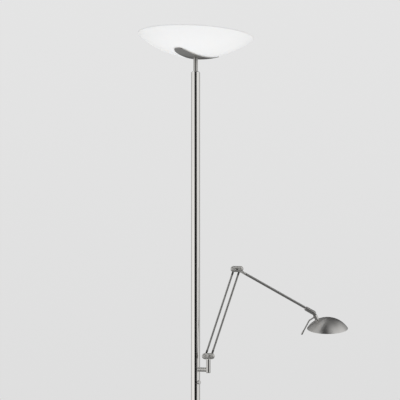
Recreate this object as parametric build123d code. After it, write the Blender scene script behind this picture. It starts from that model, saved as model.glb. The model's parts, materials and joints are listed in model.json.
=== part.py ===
from build123d import *
import os
from math import cos, radians, sin, sqrt

# A torchiere floor lamp: round weighted base, slim tube pole, opal glass uplighter bowl
# carried on a leaf-shaped bracket, and a jointed reading arm (parallelogram lower arm,
# single upper arm) with a spun dome shade.
#
# Frame: +Z up, origin on the floor on the pole's axis, +X towards the reading arm and
# -Y the front. Millimetres. Every physical piece is written to parts/NODE.step.

PARTS = {}

# ---------------------------------------------------------------- how far cuts run
PAST = 1.0                       # past the face they open
THROUGH = 10.0                   # past a wall or slot they go right through
FAR = 300.0                      # past any piece

# ---------------------------------------------------------------- base
BASE_R = 140.0
COVER_T = 1.2
COVER_FOOT = 1.5                 # gap under the cover's edge
COVER_SHOULDER = 17.0            # top of the cover's upright edge
COVER_EDGE_R = 6.0
COVER_TOP = 28.2                 # flat seat for the pole
COVER_SEAT_R = 24.0
FELT_R, FELT_T = 134.0, 2.0
WEIGHT_R, WEIGHT_TOP = 133.0, 22.0
RECESS_R, RECESS_TOP = 23.0, 14.0
NIPPLE_R, NIPPLE_BORE_R = 6.5, 4.75
INLET_Z, INLET_BORE_R = 10.0, 3.25

# ---------------------------------------------------------------- pole
POLE_R, POLE_BORE_R = 14.0, 12.5  # 28 mm tube
POLE_TUBE_TOP = 1665.0
POLE_CAP_TOP = 1676.0
POLE_PLUG = 18.0                 # depth of the cap's plug in the tube
STEM_R, STEM_BORE_R = 6.9, 5.0

KNOB_Z, KNOB_TURN = 693.7, 42.0  # dimmer knob, degrees from the front towards +X
KNOB_R, KNOB_TOP = 6.0, 19.4     # its top face, from the pole's axis
BUSH_R, SPINDLE_R = 3.5, 2.0
DIMMER_LOW, DIMMER_HALF, DIMMER_DEPTH = 3.8, 7.0, 6.0

# ---------------------------------------------------------------- uplighter
BOWL_R = 187.0                   # rim radius, before its lip is rounded to 184
BOWL_DEPTH = 70.5
BOWL_T = 4.5
BOWL_RIM_Z = 1791.2
BOWL_TILT = 2.8                  # the rim's right side is low
BOWL_HOLE_R = 6.0
LEAF_GAP, LEAF_T = 0.6, 2.0
LEAF_TURN = 43.8                 # plan angle of the leaf's long axis from +X
THREAD_R, THREAD_HOLE_R, THREAD_BORE_R = 5.0, 5.1, 3.2
WASHER_Z, WASHER_T = 1730.0, 1.5
HEAD_NUT_T = 8.0
CARRIER_HALF, CARRIER_HALF_W, CARRIER_T = 71.5, 12.0, 1.5
CARRIER_TOP = 1775.0
LAMP_RISE = 18.0                 # lamp axis above the carrier

# ---------------------------------------------------------------- reading arm
BRACKET_TURN = 44.0              # the bracket points to the front right, from +X
POST_REACH = 55.4                # post to the pole's axis
POST_R, POST_BORE_R = 6.8, 5.05
POST_BOTTOM, POST_PLUG_T = 723.6, 4.0
STUB_R = 6.7
STUB_Z = 733.6
GRUB_RISE, GRUB_R = 17.0, 1.5    # grub screw, above the stub

LOWER_HUB_Z = 775.7
HUB_LENGTH, HUB_HEIGHT = 39.8, 18.8
HUB_HALF_T, HUB_ROUND = 9.4, 7.5
HUB_SEAT = 8.2                   # flat under the lower hub, from its middle
MID_PLATE = 0.8                  # half thickness of the hub's middle plate
LAYER_OUT = 6.6                  # inner face of a hub cheek
SLOT_FLOOR = 5.4
EYE_IN, EYE_OUT = 1.0, 6.4       # an eye's two faces, measured from the hub's middle
EYE_R = 4.8
FIT = 0.05                       # radial clearance of a running fit
PIN_R = 2.5
PIN_BORE_R = PIN_R + FIT
PIN_SEAT = 8.4                   # under a pin's head, from the hub's middle
PIN_HEAD_R, PIN_HEAD_T = 4.0, 1.6
SOCKET_ACROSS, SOCKET_DEPTH = 2.5, 1.0        # hexagon socket in a pin's head
HEAD_GAP = 0.2                   # round a pin's or screw's head, in its seat
BLIND = 5.0                      # a blind pin's end, in front of the hub's middle
SWIVEL_R = 5.0
SPIGOT_R, SPIGOT_T = 4.0, 4.0    # the swivel pin's end in the hub
TENSION_R, TENSION_T = 9.4, 7.6
ROD_R, ROD_LENGTH = 3.0, 285.3
ROD_TONGUE = 20.0                # flattened end of a rod
ROD_SPACING = 18.6
ROD_LEAN = 18.3                  # from vertical, at rest

ARM_R = 3.9
ARM_DROP = 29.5                  # below horizontal, at rest
ARM_PIVOT_DROP = 0.4             # the arm's pivot lies a little under the hub's middle
ARM_LENGTH = 242.3               # pivot to head hub
TONGUE_END, TUBE_START = 24.0, 30.0
HEAD_HUB_LENGTH, HEAD_HUB_R = 39.5, 6.4
HEAD_HUB_HALF_T, HEAD_HUB_ROUND = 6.5, 5.0
HEAD_HUB_SAG = 1.3               # its middle lies below the arm's line
TILT_INSET = 8.0                 # tilt pivot to the head hub's end
TILT_SEAT, TILT_HEAD_R = 5.8, 3.6
HEAD_ROLL = 18.0                 # the head is turned about the arm, its dome to the front
STEM_BEND = 35.7                 # head stem from the arm's line
HEAD_STEM_R, HEAD_STEM_END_R = 6.25, 5.0
THREAD_IN = 9.0                  # the stem's threaded end, in the dome
STEM_TONGUE_R, STEM_TONGUE_HALF = 5.4, 2.5

# ---------------------------------------------------------------- reading head
SHADE_R, SHADE_DEPTH, SHADE_T = 63.7, 34.2, 1.2
SHADE_STEM = 102.0               # tilt pivot to the centre of the dome's sphere
SHADE_NUT_R, SHADE_NUT_DEPTH = 9.0, 6.2
CAP_R, CAP_T, CAP_SPHERE = 9.5, 1.0, 35.0     # the screw's shallow cap on the dome
CAP_SCREW_R, CAP_SCREW_HOLE_R = 1.55, 1.6
REFLECTOR_GAP, REFLECTOR_T = 5.6, 0.8         # under the dome
REFLECTOR_UP, BULB_UP = 6.0, 12.0             # from the dome's rim
BULB_R = 5.5
HANDLE_R, GRIP_R = 2.1, 2.5

# ---------------------------------------------------------------- worked out from them
COVER_BORE_R = NIPPLE_R + 0.2
BOWL_SPHERE = (BOWL_R ** 2 + BOWL_DEPTH ** 2) / (2 * BOWL_DEPTH)
BOWL_RISE = BOWL_SPHERE - BOWL_DEPTH          # rim plane to sphere centre
BOWL_CENTRE = Vector(
    BOWL_RISE * sin(radians(BOWL_TILT)), 0, BOWL_RIM_Z + BOWL_RISE * cos(radians(BOWL_TILT))
)
CARRIER_Z = WASHER_Z + WASHER_T + HEAD_NUT_T
LAMP_PLACE = Pos(0, 0, CARRIER_Z + CARRIER_T + LAMP_RISE)
SHADE_SPHERE = (SHADE_R ** 2 + SHADE_DEPTH ** 2) / (2 * SHADE_DEPTH)
SHADE_RISE = SHADE_SPHERE - SHADE_DEPTH
SHADE_SURFACE = SHADE_STEM - SHADE_SPHERE     # tilt pivot to the dome, along the stem
REFLECTOR_SPHERE = SHADE_SPHERE - SHADE_T - REFLECTOR_GAP
REFLECTOR_LOW = SHADE_RISE + REFLECTOR_UP
BULB_Z = SHADE_RISE + BULB_UP

BRACKET = Rot(0, 0, -BRACKET_TURN)
POST_X = POST_REACH * cos(radians(BRACKET_TURN))
POST_Y = -POST_REACH * sin(radians(BRACKET_TURN))
LOWER_HUB = Pos(POST_X, POST_Y, LOWER_HUB_Z)
LEAN_X = ROD_LENGTH * sin(radians(ROD_LEAN))
LEAN_Z = ROD_LENGTH * cos(radians(ROD_LEAN))
UPPER_HUB = Pos(POST_X + LEAN_X, POST_Y, LOWER_HUB_Z + LEAN_Z)
EYE_Y = (EYE_IN + EYE_OUT) / 2
EYE_HALF = (EYE_OUT - EYE_IN) / 2

# The arm frame: origin on the elbow pivot, X along the arm, Z up across it.
ARM_FRAME = UPPER_HUB * Location((0, -EYE_Y, -ARM_PIVOT_DROP), (0, ARM_DROP, 0))
HEAD_PIVOT = ARM_LENGTH + HEAD_HUB_LENGTH - TILT_INSET
HEAD_FRAME = ARM_FRAME * Location((HEAD_PIVOT, 0, 0), (HEAD_ROLL, 0, 0))
STEM_FRAME = HEAD_FRAME * Rot(0, STEM_BEND, 0)
# The shade frame: origin at the centre of the dome's sphere, Z along the dome's axis.
SHADE_FRAME = STEM_FRAME * Pos(SHADE_STEM, 0, 0) * Rot(0, -STEM_BEND - ARM_DROP, 0)
SHADE_TO_STEM = SHADE_FRAME.inverse() * STEM_FRAME
KNOB_FRAME = Pos(0, 0, KNOB_Z) * Rot(0, 0, KNOB_TURN - 90) * Rot(0, 90, 0)


# ---------------------------------------------------------------- shapes used many times
def turned(radius, low, high, bore=0.0):
    """A disc, pin or tube on the local Z axis, from low to high."""
    at_low = (Align.CENTER, Align.CENTER, Align.MIN)
    solid = Pos(0, 0, low) * Cylinder(radius, high - low, align=at_low)
    if bore:
        solid -= Pos(0, 0, low - PAST) * Cylinder(bore, high - low + 2 * PAST, align=at_low)
    return solid


def along_x(radius, low, high, bore=0.0):
    return Rot(0, 90, 0) * turned(radius, low, high, bore)


def along_y(radius, low, high, bore=0.0):
    return Rot(-90, 0, 0) * turned(radius, low, high, bore)


def block(x, y, z):
    """A box given by its (low, high) pairs."""
    size = [pair[1] - pair[0] for pair in (x, y, z)]
    return Pos(x[0], y[0], z[0]) * Box(*size, align=(Align.MIN, Align.MIN, Align.MIN))


def both_ways(half):
    return (-half, half)


def hex_nut(across, low, high, bore):
    nut = Pos(0, 0, low) * extrude(RegularPolygon(across / sqrt(3), 6), high - low)
    return nut - turned(bore, low - PAST, high + PAST)


def revolved(*points):
    """A closed outline of (radius, height) points, turned about the local Z axis."""
    outline = Plane.XZ * make_face(Polyline(*points, close=True))
    return revolve(outline, Axis.Z)


def ball(radius, centre=(0, 0, 0)):
    return Pos(centre) * Sphere(radius)


def stadium(length, height, y_low, y_high):
    """A slot-shaped plate in the XZ plane, between two Y faces."""
    face = SlotOverall(length, height)
    return Pos(0, y_high, 0) * Rot(90, 0, 0) * extrude(face, y_high - y_low)


def crowned(length, height, half_t, rounding):
    """A slot-shaped block whose front and back edges are rounded over, like a barrel."""
    blank = stadium(length, height, -half_t, half_t)
    rims = blank.edges().group_by(Axis.Y)
    return fillet(rims[0] + rims[-1], rounding)


def button(radius, low, high, softness):
    """A low round head on the local Y axis, rounded at its outer edge, with a hexagon socket."""
    head = along_y(radius, low, high)
    head = fillet(head.edges().group_by(Axis.Y)[-1], softness)
    socket = extrude(RegularPolygon(SOCKET_ACROSS / sqrt(3), 6), SOCKET_DEPTH)
    return head - Pos(0, high, 0) * Rot(90, 0, 0) * socket


def keep(name, shape, place=None):
    """Files one named piece, moved to its place in the lamp."""
    PARTS[name] = place * shape if place is not None else shape


# ---------------------------------------------------------------- base
def base_felt():
    keep("base_felt", turned(FELT_R, 0, FELT_T))


def base_weight():
    chamfer_size, boss_inset, channel_half = 4.0, 2.0, 5.0
    weight = turned(WEIGHT_R, FELT_T, WEIGHT_TOP)
    weight = chamfer(weight.edges().group_by(Axis.Z)[-1], chamfer_size)
    weight += turned(COVER_SEAT_R - boss_inset, WEIGHT_TOP, COVER_TOP - COVER_T)
    weight -= turned(RECESS_R, 0, RECESS_TOP) + turned(COVER_BORE_R, 0, COVER_TOP)
    # The channel for the mains lead runs from the recess to the back edge.
    weight -= block(both_ways(channel_half), (0, WEIGHT_R + PAST), (0, RECESS_TOP))
    keep("base_weight", weight)


def cover_outline(inset):
    """The solid of revolution inside the cover, drawn in by inset from its outer face."""
    radius = BASE_R - inset
    top, edge = COVER_TOP - inset, COVER_EDGE_R - inset
    shoulder = (BASE_R - COVER_EDGE_R, COVER_SHOULDER + edge)
    foot = COVER_FOOT - PAST if inset else COVER_FOOT
    wall = Line((radius, foot), (radius, COVER_SHOULDER))
    bend = RadiusArc((radius, COVER_SHOULDER), shoulder, -edge)
    rest = Polyline(shoulder, (COVER_SEAT_R, top), (0, top), (0, foot), (radius, foot))
    return revolve(Plane.XZ * make_face(wall + bend + rest), Axis.Z)


def base_cover():
    grommet_hole_r = 4.5
    cover = cover_outline(0) - cover_outline(COVER_T) - turned(COVER_BORE_R, 0, COVER_TOP + PAST)
    cover -= Pos(0, 0, INLET_Z) * along_y(grommet_hole_r, BASE_R - THROUGH, BASE_R + THROUGH)
    keep("base_cover", cover)


def inlet_grommet():
    body_r, inner_lip_r, outer_lip_r = 4.4, 6.2, 6.5
    inner_lip_t, outer_lip_t = 2.2, 1.6
    inner, outer = BASE_R - 3.8, BASE_R + 1.8
    grommet = along_y(body_r, inner, outer)
    grommet += along_y(inner_lip_r, inner, inner + inner_lip_t)
    grommet += along_y(outer_lip_r, outer - outer_lip_t, outer)
    grommet -= along_y(INLET_BORE_R, inner - PAST, outer + PAST)
    keep("inlet_grommet", grommet, Pos(0, 0, INLET_Z))


def base_fixings():
    """The nipple through the base, with its nut and washer in the recess."""
    washer_r, washer_t, nut_across, nut_t = 20.0, 2.5, 19.0, 6.0
    nipple_top, overhang = 64.0, 0.5
    nut_top = RECESS_TOP - washer_t
    keep("base_washer", turned(washer_r, nut_top, RECESS_TOP, COVER_BORE_R))
    keep("base_nut", hex_nut(nut_across, nut_top - nut_t, nut_top, NIPPLE_R))
    keep("base_nipple", turned(NIPPLE_R, nut_top - nut_t - overhang, nipple_top, NIPPLE_BORE_R))


def foot_collar():
    rim_t, neck_t, height, collar_bore_r = 2.5, 2.0, 14.0, POLE_R + FIT
    slope_in, slope_up = 5.0, 7.0
    collar = revolved(
        (collar_bore_r, COVER_TOP),
        (COVER_SEAT_R, COVER_TOP),
        (COVER_SEAT_R, COVER_TOP + rim_t),
        (COVER_SEAT_R - slope_in, COVER_TOP + slope_up),
        (POLE_R + neck_t, COVER_TOP + height),
        (collar_bore_r, COVER_TOP + height),
    )
    keep("foot_collar", collar)


# ---------------------------------------------------------------- pole and its dimmer
def pole_foot_insert():
    length = 38.0
    keep("pole_foot_insert", turned(POLE_BORE_R, COVER_TOP, COVER_TOP + length, NIPPLE_R + FIT))


def pole_tube():
    pole = turned(POLE_R, COVER_TOP, POLE_TUBE_TOP, POLE_BORE_R)
    pole -= BRACKET * Pos(0, 0, STUB_Z) * along_x(THREAD_HOLE_R, 0, POLE_R + THROUGH)
    pole -= KNOB_FRAME * turned(BUSH_R, DIMMER_LOW, POLE_R + THROUGH)
    keep("pole_tube", pole)


def pole_cap():
    plug_low, slope, ledge = POLE_TUBE_TOP - POLE_PLUG, 4.0, 1.5
    cap = revolved(
        (STEM_R, plug_low),
        (POLE_BORE_R, plug_low),
        (POLE_BORE_R, POLE_TUBE_TOP),
        (POLE_R, POLE_TUBE_TOP),
        (POLE_R, POLE_CAP_TOP - slope),
        (STEM_R + ledge, POLE_CAP_TOP),
        (STEM_R, POLE_CAP_TOP),
    )
    keep("pole_cap", cap)


def stem_nut():
    across, height = 20.0, 8.0
    top = POLE_TUBE_TOP - POLE_PLUG
    keep("stem_nut", hex_nut(across, top - height, top, STEM_R))


def dimmer_module():
    """The dimmer's body inside the pole, and its bush in the pole's wall."""
    body_floor, bush_proud = 2.0, 0.4
    body_top, bush_top = DIMMER_LOW + DIMMER_DEPTH, POLE_R + bush_proud
    module = block(both_ways(DIMMER_HALF), both_ways(DIMMER_HALF), (DIMMER_LOW, body_top))
    module += turned(BUSH_R, body_top, bush_top)
    module -= turned(SPINDLE_R + FIT, DIMMER_LOW + body_floor, bush_top + PAST)
    keep("dimmer_module", module, KNOB_FRAME)


def dimmer_knob():
    crown, edge, gap, spindle_inset = 1.2, 1.2, 0.6, 2.5
    notch_half, notch_length, notch_depth = 0.5, 2.4, 0.5
    keep("dimmer_spindle", turned(SPINDLE_R, DIMMER_LOW + spindle_inset, KNOB_TOP - crown), KNOB_FRAME)
    knob = turned(KNOB_R, POLE_R + gap, KNOB_TOP)
    knob = fillet(knob.edges().group_by(Axis.Z)[-1], edge)
    knob -= turned(SPINDLE_R, POLE_R, KNOB_TOP - crown)
    # A short notch in the face marks the knob's turn.
    notch_z = (KNOB_TOP - notch_depth, KNOB_TOP + PAST)
    notch = block(both_ways(notch_half), (KNOB_R - notch_length, KNOB_R), notch_z)
    keep("dimmer_knob", knob - notch, KNOB_FRAME)


# ---------------------------------------------------------------- uplighter
def inside_bowl():
    return ball(BOWL_SPHERE - BOWL_T, BOWL_CENTRE)


def glass_bowl():
    lip_round = 0.4 * BOWL_T
    rim = Location((0, 0, BOWL_RIM_Z), (0, BOWL_TILT, 0))
    below_rim = rim * block(both_ways(FAR), both_ways(FAR), (-FAR, 0))
    shell = ball(BOWL_SPHERE, BOWL_CENTRE) - inside_bowl()
    bowl = (shell & below_rim) - turned(BOWL_HOLE_R, WASHER_Z - FAR, WASHER_Z + FAR)
    lip = bowl.edges().filter_by(GeomType.CIRCLE).sort_by(Axis.Z)[-2:]
    keep("glass_bowl", fillet(lip, lip_round))


def leaf_outline():
    """The leaf in plan: broad and blunt at the front left, narrow at the back right."""
    points = [
        (98, -6), (60, -24), (0, -33), (-60, -33), (-90, -25),
        (-96, -8), (-84, 8), (-48, 20), (0, 25), (60, 14),
    ]
    return make_face(Spline(*points, periodic=True))


def leaf_bracket():
    """The leaf follows the bowl's curve a little below the glass, round a gasket."""
    gasket_r, low, high, stem_in = 15.0, WASHER_Z - 30, WASHER_Z + 50, 32.0
    leaf_in = ball(BOWL_SPHERE + LEAF_GAP, BOWL_CENTRE)
    leaf_out = ball(BOWL_SPHERE + LEAF_GAP + LEAF_T, BOWL_CENTRE)
    prism = Pos(0, 0, low) * Rot(0, 0, LEAF_TURN) * extrude(leaf_outline(), high - low)
    leaf = ((leaf_out - leaf_in) & prism) - turned(THREAD_HOLE_R, low, high)
    keep("leaf_bracket", leaf)
    gasket = (leaf_in - ball(BOWL_SPHERE, BOWL_CENTRE)) & turned(gasket_r, low, WASHER_Z, BOWL_HOLE_R)
    keep("lower_gasket", gasket)
    keep("stem_tube", turned(STEM_R, POLE_TUBE_TOP - stem_in, WASHER_Z, STEM_BORE_R) - leaf_out)


def clamp_stack():
    """The threaded nipple through the glass, with its gasket, washer and two nuts."""
    nipple_low, nipple_top, across = WASHER_Z - 40, WASHER_Z + 20, 17.0
    gasket_r, washer_r = 18.0, 20.0
    keep("head_nipple", turned(THREAD_R, nipple_low, nipple_top, THREAD_BORE_R))
    keep("upper_gasket", turned(gasket_r, WASHER_Z - THROUGH, WASHER_Z, BOWL_HOLE_R) & inside_bowl())
    keep("clamp_washer", turned(washer_r, WASHER_Z, WASHER_Z + WASHER_T, THREAD_HOLE_R))
    lows = (WASHER_Z + WASHER_T, CARRIER_Z + CARRIER_T)
    nuts = [hex_nut(across, low, low + HEAD_NUT_T, THREAD_R) for low in lows]
    keep("head_nuts", Compound(nuts))


def lamp_carrier():
    width = both_ways(CARRIER_HALF_W)
    plate = block(both_ways(CARRIER_HALF), width, (CARRIER_Z, CARRIER_Z + CARRIER_T))
    carrier = plate - turned(THREAD_HOLE_R, CARRIER_Z - PAST, CARRIER_Z + THROUGH)
    for side in (-1, 1):
        ends = sorted((side * CARRIER_HALF, side * (CARRIER_HALF - CARRIER_T)))
        carrier += block(ends, width, (CARRIER_Z, CARRIER_TOP))
    keep("lamp_carrier", carrier)


def halogen_lamp():
    """A double-ended halogen tube between two ceramic holders."""
    holder_in, cap_in, cap_out, cap_r = 59.1, 50.0, 61.8, 3.5
    holder_half_w, holder_half_h, round_cap, behind_cap = 8.0, 11.0, 0.5, 0.2
    tube_half, tube_r, tube_round, pinch = 45.0, 5.0, 3.0, (3.0, 1.5)
    holder_x = (holder_in, CARRIER_HALF - CARRIER_T)
    holder = block(holder_x, both_ways(holder_half_w), both_ways(holder_half_h))
    holder -= along_x(cap_r + round_cap, holder_in - PAST, cap_out + behind_cap)
    end_cap = along_x(cap_r, cap_in, cap_out)
    keep("lamp_holders", Compound([holder, holder.mirror(Plane.YZ)]), LAMP_PLACE)
    keep("halogen_end_caps", Compound([end_cap, end_cap.mirror(Plane.YZ)]), LAMP_PLACE)
    tube = fillet(along_x(tube_r, -tube_half, tube_half).edges(), tube_round)
    tube += block(both_ways(cap_in), both_ways(pinch[0]), both_ways(pinch[1]))
    keep("halogen_tube", tube, LAMP_PLACE)


def safety_glass():
    overhang, width, corner_r, thickness = 2.0, 56.0, 10.0, 3.0
    pane = extrude(RectangleRounded(2 * (CARRIER_HALF + overhang), width, corner_r), thickness)
    keep("safety_glass", pane, Pos(0, 0, CARRIER_TOP))


# ---------------------------------------------------------------- side bracket
def bracket_stub():
    root = POLE_R - 4
    stub = Pos(0, 0, STUB_Z) * along_x(STUB_R, root, POST_REACH, THREAD_R)
    post_space = Pos(POST_REACH, 0, 0) * turned(POST_R, 0, 2 * STUB_Z)
    keep("bracket_stub", stub - turned(POLE_R, 0, 2 * STUB_Z) - post_space, BRACKET)


def bracket_post():
    """The upright, its plug below, and the grub screw that holds the swivel pin."""
    at_post = BRACKET * Pos(POST_REACH, 0, 0)
    at_grub = Pos(0, 0, STUB_Z + GRUB_RISE)
    plug_top, wire_r, washer_t, play = POST_BOTTOM + POST_PLUG_T, 3.0, 1.0, 0.1
    plug_round, plug_in, grub_in, grub_out = 2.0, 3.0, 4.3, 6.6
    post_top = LOWER_HUB_Z - HUB_SEAT - washer_t - play
    post = turned(POST_R, plug_top, post_top, POST_BORE_R)
    post -= Pos(-POST_R, 0, STUB_Z) * along_x(wire_r, -PAST, POST_R)
    post -= at_grub * along_y(GRUB_R, 0, POST_R + PAST)
    keep("bracket_post", post, at_post)
    plug = fillet(turned(POST_R, POST_BOTTOM, plug_top).edges().group_by(Axis.Z)[0], plug_round)
    keep("post_plug", plug + turned(POST_BORE_R, plug_top, plug_top + plug_in), at_post)
    keep("post_grub_screw", along_y(GRUB_R, grub_in, grub_out), at_post * at_grub)
    keep("swivel_washer", turned(POST_R, post_top, post_top + washer_t, POST_BORE_R), at_post)


def stub_fixings():
    """Inside the pole: a nut and a saddle hold the stub's nipple."""
    at_stub = BRACKET * Pos(0, 0, STUB_Z)
    nut_low, nut_high, across, overhang, reach, saddle_r = 5.5, 9.0, 14.0, 0.5, 26.0, 7.0
    keep("stub_nipple", along_x(THREAD_R, nut_low - overhang, reach, THREAD_BORE_R), at_stub)
    keep("stub_nut", Rot(0, 90, 0) * hex_nut(across, nut_low, nut_high, THREAD_R), at_stub)
    saddle = along_x(saddle_r, nut_high, POLE_R, THREAD_R) & turned(POLE_BORE_R, -FAR, FAR)
    keep("stub_saddle", saddle, at_stub)


# ---------------------------------------------------------------- lower arm
def hub_blank():
    return crowned(HUB_LENGTH, HUB_HEIGHT, HUB_HALF_T, HUB_ROUND)


def rod_pivots():
    """Where the two rods pivot, from a hub's middle."""
    return {"left": -ROD_SPACING / 2, "right": ROD_SPACING / 2}


def pivot_pin(front):
    """A pin on the local Y axis from front to its button head at the back."""
    softness = 1.0
    return along_y(PIN_R, front, PIN_SEAT) + button(PIN_HEAD_R, PIN_SEAT, PIN_SEAT + PIN_HEAD_T, softness)


def pin_hole(front):
    """The hole for a pivot pin, with a flat seat for its head."""
    back = HUB_HALF_T + PAST
    return along_y(PIN_R, front, back) + along_y(PIN_HEAD_R + HEAD_GAP, PIN_SEAT, back)


def lower_hub():
    pin_front = {"left": -HUB_HALF_T - PAST, "right": -BLIND}
    hub = hub_blank()
    hub -= block(both_ways(HUB_LENGTH), (MID_PLATE, LAYER_OUT), (-SLOT_FLOOR, HUB_HEIGHT))
    hub -= turned(POST_R + PAST, -HUB_HEIGHT, -HUB_SEAT)
    for side, x in rod_pivots().items():
        hub -= Pos(x, 0, 0) * pin_hole(pin_front[side])
    hub -= turned(SPIGOT_R, -HUB_HEIGHT, -HUB_SEAT + SPIGOT_T)
    keep("lower_hub", hub, LOWER_HUB)


def lower_pins():
    """The left pin reaches through the front cheek to carry the tension knob."""
    left, right, into_knob = rod_pivots()["left"], rod_pivots()["right"], 5.0
    keep("lower_pin_left", pivot_pin(-HUB_HALF_T - into_knob), LOWER_HUB * Pos(left, 0, 0))
    keep("lower_pin_right", pivot_pin(-BLIND), LOWER_HUB * Pos(right, 0, 0))


def swivel_pin():
    """Turns in the post; a groove takes the grub screw's tip."""
    length, groove_half, groove_r = 24.0, 1.8, 4.0
    pin = turned(SWIVEL_R, -HUB_SEAT - length, -HUB_SEAT)
    pin += turned(SPIGOT_R, -HUB_SEAT, -HUB_SEAT + SPIGOT_T)
    groove_z = STUB_Z + GRUB_RISE - LOWER_HUB_Z
    pin -= turned(SWIVEL_R + PAST, groove_z - groove_half, groove_z + groove_half, groove_r)
    keep("swivel_pin", pin, LOWER_HUB)


def friction_knob():
    """A domed knob with a fluted edge on the left pivot."""
    gap, dome_r, flutes, flute_r, flute_out, bore_depth = 0.4, 22.0, 24, 0.45, 0.2, 5.1
    back = -HUB_HALF_T - gap
    front = back - TENSION_T
    knob = along_y(TENSION_R, front, back) & ball(dome_r, (0, front + dome_r, 0))
    knob -= along_y(PIN_BORE_R, -HUB_HALF_T - bore_depth, 0)
    flute = Pos(TENSION_R + flute_out, 0, 0) * along_y(flute_r, front, 0)
    for index in range(flutes):
        knob -= Rot(0, 360 / flutes * index, 0) * flute
    keep("friction_knob", knob, LOWER_HUB * Pos(rod_pivots()["left"], 0, 0))


def arm_rods():
    """Round rods with flattened ends and an eye at each end."""
    ends = ((0, ROD_TONGUE), (ROD_LENGTH - ROD_TONGUE, ROD_LENGTH))
    rod = Pos(0, EYE_Y, 0) * turned(ROD_R, ROD_TONGUE, ROD_LENGTH - ROD_TONGUE)
    for end in ends:
        rod += block(both_ways(ROD_R), (EYE_IN, EYE_OUT), end)
    for z in (0, ROD_LENGTH):
        rod += Pos(0, 0, z) * along_y(EYE_R, EYE_IN, EYE_OUT)
    for z in (0, ROD_LENGTH):
        rod -= Pos(0, 0, z) * along_y(PIN_BORE_R, EYE_IN - PAST, EYE_OUT + PAST)
    for side, x in rod_pivots().items():
        keep(f"arm_rod_{side}", rod, LOWER_HUB * Pos(x, 0, 0) * Rot(0, ROD_LEAN, 0))


# ---------------------------------------------------------------- elbow and upper arm
def upper_hub():
    """Rods enter from below at the back, the upper arm from the right at the front."""
    front_slot_left = -7.0
    at_arm = Pos(0, 0, -ARM_PIVOT_DROP) * Rot(0, 0, 180)
    hub = hub_blank()
    hub -= block(both_ways(HUB_LENGTH), (MID_PLATE, LAYER_OUT), (-HUB_HEIGHT, SLOT_FLOOR))
    hub -= block((front_slot_left, HUB_LENGTH), (-LAYER_OUT, -MID_PLATE), both_ways(HUB_HEIGHT))
    for x in rod_pivots().values():
        hub -= Pos(x, 0, 0) * pin_hole(0)
    hub -= at_arm * pin_hole(0)
    keep("upper_hub", hub, UPPER_HUB)
    pins = [Pos(x, 0, 0) * pivot_pin(0) for x in rod_pivots().values()]
    pins.append(at_arm * pivot_pin(0))
    keep("upper_hub_pins", Compound(pins), UPPER_HUB)


def upper_arm():
    """A flat tongue in the elbow, then a round tube whose thin end turns in the head hub."""
    spigot, end_gap, into_tube = 14.0, 0.4, 2.0
    tongue = along_y(EYE_R, -EYE_HALF, EYE_HALF)
    tongue += block((0, TONGUE_END + into_tube), both_ways(EYE_HALF), both_ways(ARM_R))
    tongue += along_x(ARM_R, TONGUE_END, TUBE_START)
    tongue -= along_y(PIN_BORE_R, -THROUGH, THROUGH)
    keep("arm_tongue", tongue, ARM_FRAME)
    tube = along_x(ARM_R, TUBE_START, ARM_LENGTH - end_gap)
    tube += along_x(PIN_R, ARM_LENGTH - into_tube, ARM_LENGTH + spigot)
    keep("upper_arm_tube", tube, ARM_FRAME)


def head_hub():
    """Turns on the arm's end, and holds the head's tilt screw."""
    slot_half, bore_end = STEM_TONGUE_HALF + 0.2, -14.0
    head_t, softness = 1.5, 0.9
    middle = TILT_INSET - HEAD_HUB_LENGTH / 2
    hub = crowned(HEAD_HUB_LENGTH, 2 * HEAD_HUB_R, HEAD_HUB_HALF_T, HEAD_HUB_ROUND)
    hub = Pos(middle, 0, -HEAD_HUB_SAG) * hub
    hub -= block(both_ways(THROUGH), both_ways(slot_half), both_ways(THROUGH))
    hub -= along_x(PIN_BORE_R, -HEAD_HUB_LENGTH, bore_end)
    hub -= along_y(PIN_R, -BLIND, FAR) + along_y(TILT_HEAD_R + HEAD_GAP, TILT_SEAT, FAR)
    keep("head_hub", hub, HEAD_FRAME)
    screw = along_y(PIN_R, -BLIND, TILT_SEAT)
    screw += button(TILT_HEAD_R, TILT_SEAT, TILT_SEAT + head_t, softness)
    keep("tilt_screw", screw, HEAD_FRAME)


# ---------------------------------------------------------------- reading head
def head_stem():
    """A flat tongue on the tilt screw, a round stem, and a threaded end in the dome."""
    tongue_end, tongue_half_h, thread_start = 9.0, 5.0, 20.0
    stem = along_y(STEM_TONGUE_R, -STEM_TONGUE_HALF, STEM_TONGUE_HALF)
    stem += block((0, tongue_end + PAST), both_ways(STEM_TONGUE_HALF), both_ways(tongue_half_h))
    stem -= along_y(PIN_BORE_R, -THROUGH, THROUGH)
    stem += along_x(HEAD_STEM_R, tongue_end, SHADE_STEM) - ball(SHADE_SPHERE, (SHADE_STEM, 0, 0))
    stem += along_x(HEAD_STEM_END_R, thread_start, SHADE_SURFACE + THREAD_IN)
    keep("head_stem", stem, STEM_FRAME)
    inside_dome = ball(SHADE_SPHERE - SHADE_T, (SHADE_STEM, 0, 0))
    ring_nut = along_x(SHADE_NUT_R, SHADE_SURFACE, SHADE_SURFACE + SHADE_NUT_DEPTH, HEAD_STEM_END_R)
    keep("shade_nut", ring_nut & inside_dome, STEM_FRAME)


def shade():
    above = block(both_ways(FAR), both_ways(FAR), (SHADE_RISE, FAR))
    dome = (ball(SHADE_SPHERE) - ball(SHADE_SPHERE - SHADE_T)) & above
    dome -= SHADE_TO_STEM * along_x(HEAD_STEM_END_R + FIT, 0, SHADE_SURFACE + THROUGH)
    dome -= turned(CAP_SCREW_HOLE_R, SHADE_RISE, FAR)
    keep("shade", dome, SHADE_FRAME)


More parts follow.
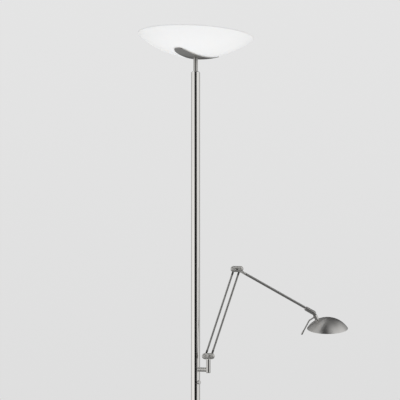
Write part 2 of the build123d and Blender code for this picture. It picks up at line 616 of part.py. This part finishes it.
def shade_screw():
    """A screw through the dome's top, under a shallow cap that sits on the dome."""
    crown, screw_in = SHADE_SPHERE + CAP_T - CAP_SPHERE, 2.6
    cap = ball(CAP_SPHERE, (0, 0, crown)) & turned(CAP_R, SHADE_RISE, FAR)
    screw = (cap - ball(SHADE_SPHERE)) + turned(CAP_SCREW_R, REFLECTOR_SPHERE - screw_in, SHADE_SPHERE)
    keep("shade_screw", screw, SHADE_FRAME)


def reflector():
    nut_gap = 0.5
    above = block(both_ways(FAR), both_ways(FAR), (REFLECTOR_LOW, FAR))
    dish = (ball(REFLECTOR_SPHERE) - ball(REFLECTOR_SPHERE - REFLECTOR_T)) & above
    dish -= turned(CAP_SCREW_HOLE_R, REFLECTOR_LOW, FAR)
    dish -= SHADE_TO_STEM * along_x(SHADE_NUT_R + nut_gap, 0, SHADE_SURFACE + THROUGH)
    keep("reflector", dish, SHADE_FRAME)


def reading_bulb():
    socket_start, socket_end, bulb_end = -33.0, -17.0, 12.0
    half_w, half_h, nose_round = 8.0, 5.0, 4.5
    holder = block((socket_start, socket_end), both_ways(half_w), (BULB_Z - half_h, BULB_Z + half_h))
    holder -= SHADE_TO_STEM * along_x(HEAD_STEM_END_R, 0, SHADE_SURFACE + THREAD_IN)
    keep("bulb_socket", holder, SHADE_FRAME)
    bulb = along_x(BULB_R, socket_end, bulb_end)
    bulb = fillet(bulb.edges().group_by(Axis.X)[-1], nose_round)
    keep("halogen_capsule", bulb, SHADE_FRAME * Pos(0, 0, BULB_Z))


def inside_radius(height):
    """The dome's inner radius at a height above the sphere's centre, less a small gap."""
    gap = 0.1
    return sqrt((SHADE_SPHERE - SHADE_T) ** 2 - height ** 2) - gap


def front_glass():
    ring_low, ring_t, glass_t, ring_bore_r = SHADE_RISE + 0.3, 1.3, 2.5, 55.8
    glass_low = ring_low + ring_t
    glass_top = glass_low + glass_t
    keep("front_glass", turned(inside_radius(glass_top), glass_low, glass_top), SHADE_FRAME)
    keep("glass_ring", turned(inside_radius(glass_low), ring_low, glass_low, ring_bore_r), SHADE_FRAME)


def handle():
    """A bent wire from the stem, down past the shade's edge, with a sleeve on its end."""
    bend_r, grip_share, grip_round = 7.0, 0.7, 1.5
    start, bend, end = Vector(9.5, 0, -11.8), Vector(0.7, 0, -30.0), Vector(2.6, 0, -82.1)
    grip_top = bend + (end - bend) * grip_share
    wire_path = FilletPolyline(start, bend, grip_top, radius=bend_r)
    wire = sweep(Plane(start, z_dir=bend - start) * Circle(HANDLE_R), path=wire_path)
    wire -= HEAD_FRAME.inverse() * STEM_FRAME * along_x(HEAD_STEM_R, 0, SHADE_STEM)
    keep("handle_wire", wire, HEAD_FRAME)
    grip = Plane(grip_top, z_dir=end - bend) * turned(GRIP_R, 0, (end - grip_top).length)
    keep("handle_grip", fillet(grip.edges(), grip_round), HEAD_FRAME)


for build in (
    base_felt, base_weight, base_cover, base_fixings, inlet_grommet, foot_collar,
    pole_foot_insert, pole_tube, pole_cap, stem_nut, dimmer_module, dimmer_knob,
    glass_bowl, leaf_bracket, clamp_stack, lamp_carrier, halogen_lamp, safety_glass,
    bracket_stub, bracket_post, stub_fixings,
    lower_hub, lower_pins, swivel_pin, friction_knob, arm_rods, upper_hub,
    upper_arm, head_hub, head_stem, shade, shade_screw, reflector, reading_bulb, front_glass, handle,
):
    build()

os.makedirs("parts", exist_ok=True)
for name, shape in PARTS.items():
    export_step(shape, f"parts/{name}.step")
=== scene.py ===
import json
from math import cos, pi, radians, sin

import bpy
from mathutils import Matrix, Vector


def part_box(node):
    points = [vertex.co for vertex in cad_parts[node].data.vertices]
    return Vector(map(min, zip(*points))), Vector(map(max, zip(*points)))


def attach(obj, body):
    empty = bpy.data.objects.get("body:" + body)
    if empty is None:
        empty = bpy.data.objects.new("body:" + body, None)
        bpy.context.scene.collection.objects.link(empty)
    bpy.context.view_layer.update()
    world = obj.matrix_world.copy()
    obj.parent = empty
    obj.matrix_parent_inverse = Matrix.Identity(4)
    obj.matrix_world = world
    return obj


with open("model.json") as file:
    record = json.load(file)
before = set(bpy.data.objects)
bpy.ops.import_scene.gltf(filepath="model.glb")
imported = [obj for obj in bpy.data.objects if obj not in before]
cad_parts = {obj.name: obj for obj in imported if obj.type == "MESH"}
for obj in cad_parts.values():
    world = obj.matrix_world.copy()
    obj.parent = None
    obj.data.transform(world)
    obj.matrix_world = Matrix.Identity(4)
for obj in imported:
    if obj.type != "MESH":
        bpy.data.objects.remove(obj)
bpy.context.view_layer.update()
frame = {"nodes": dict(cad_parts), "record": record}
cad = frame["nodes"]

# A torchiere floor lamp with a reading arm, seen from across the room. Metres throughout.

# ---------------------------------------------------------------- camera
CAMERA_PLACE = Vector((0.014, -4.85, 0.8925))
CAMERA_PITCH = radians(4.4)
CAMERA_LENS, SENSOR = 138.6, 36.0

# ---------------------------------------------------------------- room
BACKDROP_TOP, BACKDROP_FOOT = 0.78, 0.735
BACKDROP_START, BACKDROP_RISE = -0.06, 3.8  # where the backdrop brightens, and how fast
LIGHT_ABOVE, LIGHT_BESIDE, LIGHT_BELOW = 0.72, 0.68, 0.97  # the even light that fills the room
FLOOR_RADIUS, FLOOR_CLEAR, FLOOR_GONE = 9.0, 3.2, 8.55     # it fades out between clear and gone
FLOOR_SIDES = 96
FILL_PLACE, FILL_TARGET = (0, -0.35, 0.15), (0, -0.349, 1.75)  # straight up, but for a hair
FILL_SIDE, FILL_POWER = 1.7, 10

# ---------------------------------------------------------------- finishes
CLOUD_SCALE = 14.0                         # broad unevenness of plated metal
FLOOR_DARK, FLOOR_LIGHT = (0.93, 0.93, 0.93), (0.96, 0.96, 0.96)

# ---------------------------------------------------------------- the bowl's filament
FILAMENT_SHARE = 0.86                      # of the glass tube's length
COIL_TURNS, COIL_STEPS = 70, 10
COIL_RADIUS, WIRE_RADIUS = 0.0007, 0.00012


# ---------------------------------------------------------------- node helpers
def add(tree, kind, inputs=None, **settings):
    """A shader node with its settings made, and its inputs set or linked."""
    made = tree.nodes.new("ShaderNode" + kind)
    for name, value in settings.items():
        setattr(made, name, value)
    for name, value in (inputs or {}).items():
        if isinstance(value, bpy.types.NodeSocket):
            tree.links.new(value, made.inputs[name])
        else:
            made.inputs[name].default_value = value
    return made


def ramp(tree, factor, *stops):
    """A colour ramp of grey stops, each (position, value)."""
    made = add(tree, "ValToRGB", {"Fac": factor})
    elements = made.color_ramp.elements
    while len(elements) < len(stops):
        elements.new(0.5)
    for element, (position, value) in zip(elements, stops):
        element.position = position
        element.color = (value, value, value, 1.0)
    return made.outputs["Color"]


def calculate(tree, operation, *values):
    """A Math node on numbers or sockets."""
    made = add(tree, "Math", operation=operation)
    for socket, value in zip(made.inputs, values):
        if isinstance(value, bpy.types.NodeSocket):
            tree.links.new(value, socket)
        else:
            socket.default_value = value
    return made.outputs["Value"]


def average(tree, first, second):
    """Halfway between two sockets, or a socket and a number."""
    return calculate(tree, "MULTIPLY", calculate(tree, "ADD", first, second), 0.5)


def mixed(tree, factor, first, second):
    """A blend of two colours or sockets."""
    made = add(tree, "MixRGB")
    for name, value in (("Fac", factor), ("Color1", first), ("Color2", second)):
        if isinstance(value, bpy.types.NodeSocket):
            tree.links.new(value, made.inputs[name])
        else:
            made.inputs[name].default_value = (*value, 1.0)
    return made.outputs["Color"]


def between(tree, value, low, high):
    """0 at low, 1 at high and smooth between. The ends are numbers or sockets."""
    made = add(
        tree, "MapRange", {"Value": value, "From Min": low, "From Max": high}, interpolation_type="SMOOTHSTEP"
    )
    return made.outputs["Result"]


def spread(tree, factor, low, high):
    """A 0 to 1 value stretched to run from low to high."""
    made = add(tree, "MapRange", {"Value": factor, "To Min": low, "To Max": high})
    return made.outputs["Result"]


def noise(tree, scale, detail=3.0, stretch=(1, 1, 1), coordinate=None):
    """Noise on the object's own coordinates, drawn out along an axis by stretch."""
    if coordinate is None:
        coordinate = add(tree, "TexCoord").outputs["Object"]
    placed = add(tree, "Mapping", {"Vector": coordinate, "Scale": stretch})
    made = add(
        tree, "TexNoise",
        {"Vector": placed.outputs["Vector"], "Scale": scale, "Detail": detail, "Roughness": 0.6},
    )
    return made.outputs["Fac"]


def bump(tree, height, strength, depth=0.00002):
    """A normal from a height pattern that is depth metres deep."""
    made = add(tree, "Bump", {"Height": height, "Strength": strength, "Distance": depth})
    return made.outputs["Normal"]


def to_world(tree, vector):
    """An object-space direction in world space."""
    turned = add(tree, "VectorTransform", vector_type="VECTOR", convert_from="OBJECT", convert_to="WORLD")
    tree.links.new(vector, turned.inputs[0])
    return turned.outputs[0]


def surface(name, values):
    """A new material; values set the shader's own sockets."""
    material = bpy.data.materials.new(name)
    material.use_nodes = True
    shader = material.node_tree.nodes["Principled BSDF"]
    for socket, value in values.items():
        shader.inputs[socket].default_value = value
    return material, material.node_tree, shader


def link(tree, shader, **sockets):
    """Links sockets to the shader's inputs; an underscore stands for a space."""
    for name, socket in sockets.items():
        tree.links.new(socket, shader.inputs[name.replace("_", " ")])


def middle(node):
    """The middle of a CAD node's box, as a vector."""
    low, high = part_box(node)
    return (Vector(low) + Vector(high)) / 2


# ---------------------------------------------------------------- metals
def metal(name, colour, rough, stretch=(1, 1, 1), scale=900.0, grain=0.2, tint=0.04, spread_along=None):
    """Plated metal. Fine streaks run along the axis with the small stretch; where
    spread_along is given, highlights are drawn out along that axis, as on turned work."""
    values = {"Metallic": 1.0}
    if spread_along:
        values["Anisotropic"] = 0.85
    material, tree, shader = surface(name, values)
    streaks = noise(tree, scale, 2.0, stretch)
    both = average(tree, streaks, noise(tree, CLOUD_SCALE))
    dark = tuple(value * (1 - tint) for value in colour)
    light = tuple(min(1.0, value * (1 + tint)) for value in colour)
    link(
        tree, shader,
        Base_Color=mixed(tree, both, dark, light),
        Roughness=spread(tree, both, rough[0], rough[1]),
        Normal=bump(tree, streaks, grain),
    )
    if spread_along:
        x, y, z = spread_along
        along = add(tree, "CombineXYZ", {"X": x, "Y": y, "Z": z}).outputs[0]
        link(tree, shader, Tangent=to_world(tree, along))
    return material


def polished_nickel():
    return metal("polished_nickel", (0.79, 0.775, 0.745), (0.07, 0.12), (1, 1, 0.012), grain=0.08)


def satin_nickel():
    return metal("satin_nickel", (0.66, 0.65, 0.63), (0.38, 0.46), scale=1400.0)


# Painted shade: the same nickel plating as the pole, with its base colour set darker so these parts come out
# as dark as the shade and dark reflections on them.
def turned_nickel():
    return metal("turned_nickel", (0.60, 0.59, 0.57), (0.09, 0.15), (0.01, 0.01, 1))


def drawn_nickel():
    return metal("drawn_nickel", (0.52, 0.51, 0.49), (0.28, 0.36), (1, 1, 0.02), spread_along=(0, 0, 1))


def brushed_nickel():
    return metal(
        "brushed_nickel", (0.77, 0.76, 0.73), (0.42, 0.50), (0.02, 1, 1), grain=0.1, spread_along=(1, 0, 0)
    )


def leaf_metal():
    return metal("leaf_metal", (0.67, 0.665, 0.645), (0.30, 0.40), (0.15, 1, 1), scale=1100.0)


# Painted shade: the same nickel plating, with its base colour set well below the others so the parts in this
# finish come out as dark as the dark reflections on them.
def rod_metal():
    return metal("rod_metal", (0.44, 0.435, 0.42), (0.34, 0.42), scale=300.0, grain=0.1)


def zinc_steel():
    return metal("zinc_steel", (0.62, 0.61, 0.57), (0.28, 0.46), scale=500.0, tint=0.1, grain=0.5)


def bright_aluminium():
    return metal("bright_aluminium", (0.88, 0.88, 0.89), (0.14, 0.26), scale=260.0, grain=0.8)


def shade_metal():
    """Spun metal: rings of fine scratches round the dome's axis, which fan its highlights."""
    centre = middle("front_glass")
    axis = (middle("shade_screw") - centre).normalized()
    material, tree, shader = surface(
        "shade_metal", {"Metallic": 1.0, "Anisotropic": 0.75, "Anisotropic Rotation": 0.25}
    )
    here = add(tree, "TexCoord").outputs["Object"]
    arm = add(tree, "VectorMath", operation="SUBTRACT")
    tree.links.new(here, arm.inputs[0])
    arm.inputs[1].default_value = centre
    around = add(tree, "VectorMath", operation="CROSS_PRODUCT")
    around.inputs[0].default_value = axis
    tree.links.new(arm.outputs[0], around.inputs[1])
    length = add(tree, "VectorMath", operation="LENGTH")
    tree.links.new(around.outputs[0], length.inputs[0])
    reach = add(tree, "CombineXYZ", {"X": length.outputs["Value"]}).outputs[0]
    rings = noise(tree, 2600.0, 2.0, coordinate=reach)
    both = average(tree, rings, noise(tree, 30.0))
    link(
        tree, shader,
        Base_Color=mixed(tree, both, (0.60, 0.59, 0.575), (0.68, 0.67, 0.65)),
        Roughness=spread(tree, both, 0.32, 0.40),
        Normal=bump(tree, rings, 0.4),
        Tangent=to_world(tree, around.outputs[0]),
    )
    return material


# ---------------------------------------------------------------- glass
def opal_glass():
    """White cased glass: a milky body under a thin gloss."""
    material, tree, shader = surface(
        "opal_glass",
        {
            "Subsurface Weight": 0.5, "Subsurface Radius": (0.03, 0.028, 0.026), "Subsurface Scale": 0.4,
            "Specular IOR Level": 0.2, "IOR": 1.5,
        },
    )
    clouds = noise(tree, 9.0, 4.0)
    link(
        tree, shader,
        Base_Color=mixed(tree, clouds, (0.93, 0.93, 0.925), (0.965, 0.965, 0.96)),
        Roughness=spread(tree, clouds, 0.48, 0.60),
        Normal=bump(tree, noise(tree, 60.0, 2.0), 0.3, 0.0001),
    )
    return material


def clear_glass():
    material, tree, shader = surface("clear_glass", {"Transmission Weight": 1.0, "IOR": 1.46})
    waves = noise(tree, 40.0, 2.0)
    link(
        tree, shader,
        Base_Color=mixed(tree, waves, (0.95, 0.97, 0.965), (0.985, 0.99, 0.988)),
        Roughness=spread(tree, waves, 0.01, 0.05),
        Normal=bump(tree, waves, 0.2),
    )
    return material


def frosted_glass():
    material, tree, shader = surface("frosted_glass", {"Transmission Weight": 0.65, "IOR": 1.5})
    frost = noise(tree, 1200.0, 3.0)
    link(
        tree, shader,
        Base_Color=mixed(tree, frost, (0.88, 0.885, 0.88), (0.97, 0.97, 0.965)),
        Roughness=spread(tree, frost, 0.35, 0.6),
        Normal=bump(tree, frost, 1.0),
    )
    return material


# ---------------------------------------------------------------- other materials
def plain(name, dark, light, rough, scale, grain, **values):
    """Plastics, rubber, ceramic, iron and felt: two close tones over a fine surface."""
    material, tree, shader = surface(name, {key.replace("_", " "): value for key, value in values.items()})
    fine, broad = noise(tree, scale, 4.0), noise(tree, scale / 12)
    both = average(tree, fine, broad)
    link(
        tree, shader,
        Base_Color=mixed(tree, both, dark, light),
        Roughness=spread(tree, fine, rough[0], rough[1]),
        Normal=bump(tree, fine, grain, 0.0002),
    )
    return material


def white_ceramic():
    return plain("white_ceramic", (0.80, 0.78, 0.73), (0.90, 0.885, 0.85), (0.45, 0.6), 700, 0.15)


def cast_iron():
    return plain("cast_iron", (0.03, 0.03, 0.032), (0.075, 0.074, 0.072), (0.5, 0.75), 260, 0.6)


def black_felt():
    return plain(
        "black_felt", (0.012, 0.012, 0.013), (0.05, 0.05, 0.052), (0.9, 1.0), 1500, 0.8, Sheen_Weight=0.4
    )


def black_rubber():
    return plain("black_rubber", (0.015, 0.015, 0.015), (0.04, 0.04, 0.04), (0.55, 0.75), 600, 0.2)


def white_nylon():
    return plain("white_nylon", (0.66, 0.66, 0.63), (0.78, 0.78, 0.75), (0.4, 0.55), 500, 0.1)


def black_plastic():
    return plain("black_plastic", (0.02, 0.02, 0.022), (0.045, 0.045, 0.048), (0.35, 0.5), 900, 0.15)


def dress_nodes():
    """Every CAD node takes its record slot's material."""
    makers = (
        polished_nickel, satin_nickel, turned_nickel, drawn_nickel, brushed_nickel, leaf_metal, rod_metal,
        shade_metal, opal_glass, clear_glass, frosted_glass, bright_aluminium, zinc_steel, white_ceramic,
        cast_iron, black_felt, black_rubber, white_nylon, black_plastic,
    )
    finishes = {maker.__name__: maker() for maker in makers}
    for part in frame["record"]["subparts"]:
        for place in cad[part["node"]].material_slots:
            place.material = finishes[part["material_slot"]]
    return finishes


# ---------------------------------------------------------------- added pieces
def build_filament(finish):
    """A coiled tungsten wire down the middle of the bowl's halogen tube."""
    low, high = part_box("halogen_tube")
    centre, half = middle("halogen_tube"), (high[0] - low[0]) / 2 * FILAMENT_SHARE
    curve = bpy.data.curves.new("filament", "CURVE")
    curve.dimensions = "3D"
    curve.bevel_depth, curve.bevel_resolution = WIRE_RADIUS, 1
    steps = COIL_TURNS * COIL_STEPS
    line = curve.splines.new("POLY")
    line.points.add(steps)
    for index, point in enumerate(line.points):
        turn = 2 * pi * index / COIL_STEPS
        along = half * (2 * index / steps - 1)
        place = centre + Vector((along, COIL_RADIUS * cos(turn), COIL_RADIUS * sin(turn)))
        point.co = (*place, 1.0)
    filament = bpy.data.objects.new("filament", curve)
    bpy.context.collection.objects.link(filament)
    curve.materials.append(finish)
    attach(filament, "stand")


# ---------------------------------------------------------------- floor, world, light and camera
def build_floor():
    """A round pale floor that fades into the backdrop beyond its clear part."""
    mesh = bpy.data.meshes.new("floor")
    turns = [2 * pi * index / FLOOR_SIDES for index in range(FLOOR_SIDES)]
    corners = [(FLOOR_RADIUS * cos(turn), FLOOR_RADIUS * sin(turn), 0) for turn in turns]
    mesh.from_pydata(corners, [], [list(range(FLOOR_SIDES))])
    floor = bpy.data.objects.new("floor", mesh)
    floor.visible_glossy = floor.visible_diffuse = False
    bpy.context.collection.objects.link(floor)

    material, tree, shader = surface("floor_paint", {"Roughness": 0.6})
    here = add(tree, "TexCoord").outputs["Object"]
    distance = add(tree, "VectorMath", operation="LENGTH")
    tree.links.new(here, distance.inputs[0])
    fade = between(tree, distance.outputs["Value"], FLOOR_CLEAR, FLOOR_GONE)
    link(tree, shader, Base_Color=mixed(tree, noise(tree, 3.0), FLOOR_DARK, FLOOR_LIGHT))
    clear = add(tree, "BsdfTransparent")
    blend = add(tree, "MixShader", {"Fac": fade})
    tree.links.new(shader.outputs[0], blend.inputs[1])
    tree.links.new(clear.outputs[0], blend.inputs[2])
    tree.links.new(blend.outputs[0], tree.nodes["Material Output"].inputs["Surface"])
    mesh.materials.append(material)


def softboxes(tree, x, y, z):
    """What shiny metal reflects, by world direction: bright walls left and right, a dim
    lower half, and a dark gap between the walls. The gap narrows on its way from the front
    over the top to the back, and leans first to the left and then to the right."""
    def at(value, *stops):
        """A ramp over -1 to 1."""
        return ramp(
            tree, average(tree, value, 1.0), *[((position + 1) / 2, grey) for position, grey in stops]
        )

    # Where the gap's middle lies at each height and depth, and how wide the gap is there.
    middle_right, seam = 0.04, 0.05
    raised = calculate(tree, "MAXIMUM", z, 0.0)
    lean = at(y, (-1, 0.62), (-0.92, 0.60), (-0.78, 0.10), (-0.4, 0.30), (0, 0.62), (1, 0.66))
    lean = calculate(tree, "MULTIPLY", raised, spread(tree, lean, -1, 1))
    aside = calculate(tree, "SUBTRACT", x, calculate(tree, "ADD", lean, middle_right))
    width = at(y, (-1, 0.53), (-0.85, 0.47), (-0.7, 0.36), (0, 0.25), (0.7, 0.18), (1, 0.15))
    across = calculate(tree, "DIVIDE", calculate(tree, "ABSOLUTE", aside), width)
    side = between(tree, aside, -seam, seam)

    # How bright the gap is, and the two walls, which dim towards the back.
    gap = at(z, (-1, 0.02), (0, 0.012), (0.5, 0.04), (0.75, 0.04), (1, 0.10))
    left = at(z, (-1, 0.95), (0, 0.98), (0.3, 0.80), (0.6, 0.56), (0.85, 0.44), (1, 0.4))
    right = at(z, (-1, 0.75), (0, 0.78), (0.35, 1.0), (0.55, 0.95), (0.8, 0.64), (1, 0.5))
    depth = at(y, (-1, 1.0), (0.1, 1.0), (0.4, 0.72), (0.7, 0.46), (1, 0.34))
    walls = calculate(tree, "MULTIPLY", mixed(tree, side, left, right), depth)

    # The gap's edges, in shares of its half width, blur as they rise, most on the right.
    edge_in, edge_out, inward, outward_left, outward_right = 0.86, 1.22, 0.2, 0.3, 0.6
    blur = calculate(tree, "MULTIPLY", raised, spread(tree, side, outward_left, outward_right))
    start = calculate(tree, "SUBTRACT", edge_in, calculate(tree, "MULTIPLY", raised, inward))
    end = calculate(tree, "ADD", blur, edge_out)
    upper = mixed(tree, between(tree, across, start, end), gap, walls)
    lower = at(y, (-1, 0.24), (0, 0.24), (1, 0.30))
    horizon_low, horizon_high = -0.42, -0.20
    return mixed(tree, between(tree, z, horizon_low, horizon_high), lower, upper)


def build_world():
    """Three things in one: the backdrop that the camera sees, the softboxes that metal
    reflects, and the even light that falls on everything else."""
    world = bpy.data.worlds.new("studio")
    bpy.context.scene.world = world
    world.use_nodes = True
    tree = world.node_tree
    tree.nodes.clear()
    x, y, z = add(tree, "SeparateXYZ", {"Vector": add(tree, "TexCoord").outputs["Generated"]}).outputs
    height = calculate(
        tree, "MULTIPLY", calculate(tree, "SUBTRACT", z, BACKDROP_START), BACKDROP_RISE
    )
    backdrop = ramp(tree, height, (0.0, BACKDROP_FOOT), (1.0, BACKDROP_TOP))
    path = add(tree, "LightPath").outputs
    seen = calculate(tree, "MAXIMUM", path["Is Camera Ray"], path["Is Transmission Ray"])
    soft = ramp(
        tree, average(tree, z, 1.0), (0.0, LIGHT_BELOW), (0.5, LIGHT_BESIDE), (1.0, LIGHT_ABOVE)
    )
    colour = mixed(tree, path["Is Glossy Ray"], soft, softboxes(tree, x, y, z))
    colour = mixed(tree, seen, colour, backdrop)
    light = add(tree, "Background", {"Color": colour})
    tree.links.new(light.outputs[0], add(tree, "OutputWorld").inputs["Surface"])


def build_fill():
    """A soft light low down, which lifts the bowl's underside."""
    lamp = bpy.data.lights.new("low_fill", "AREA")
    lamp.size, lamp.energy = FILL_SIDE, FILL_POWER
    holder = bpy.data.objects.new("low_fill", lamp)
    holder.location = FILL_PLACE
    aim = Vector(FILL_TARGET) - Vector(FILL_PLACE)
    holder.rotation_euler = aim.to_track_quat("-Z", "Y").to_euler()
    holder.visible_camera = False
    holder.visible_glossy = False
    bpy.context.collection.objects.link(holder)


def build_camera():
    lens = bpy.data.cameras.new("camera")
    lens.lens, lens.sensor_width = CAMERA_LENS, SENSOR
    holder = bpy.data.objects.new("camera", lens)
    holder.location = CAMERA_PLACE
    holder.rotation_euler = (pi / 2 + CAMERA_PITCH, 0, 0)
    bpy.context.collection.objects.link(holder)
    bpy.context.scene.camera = holder


build_camera()
finishes = dress_nodes()
build_filament(finishes["zinc_steel"])
build_floor()
build_world()
build_fill()
bpy.context.scene.view_settings.view_transform = "Standard"
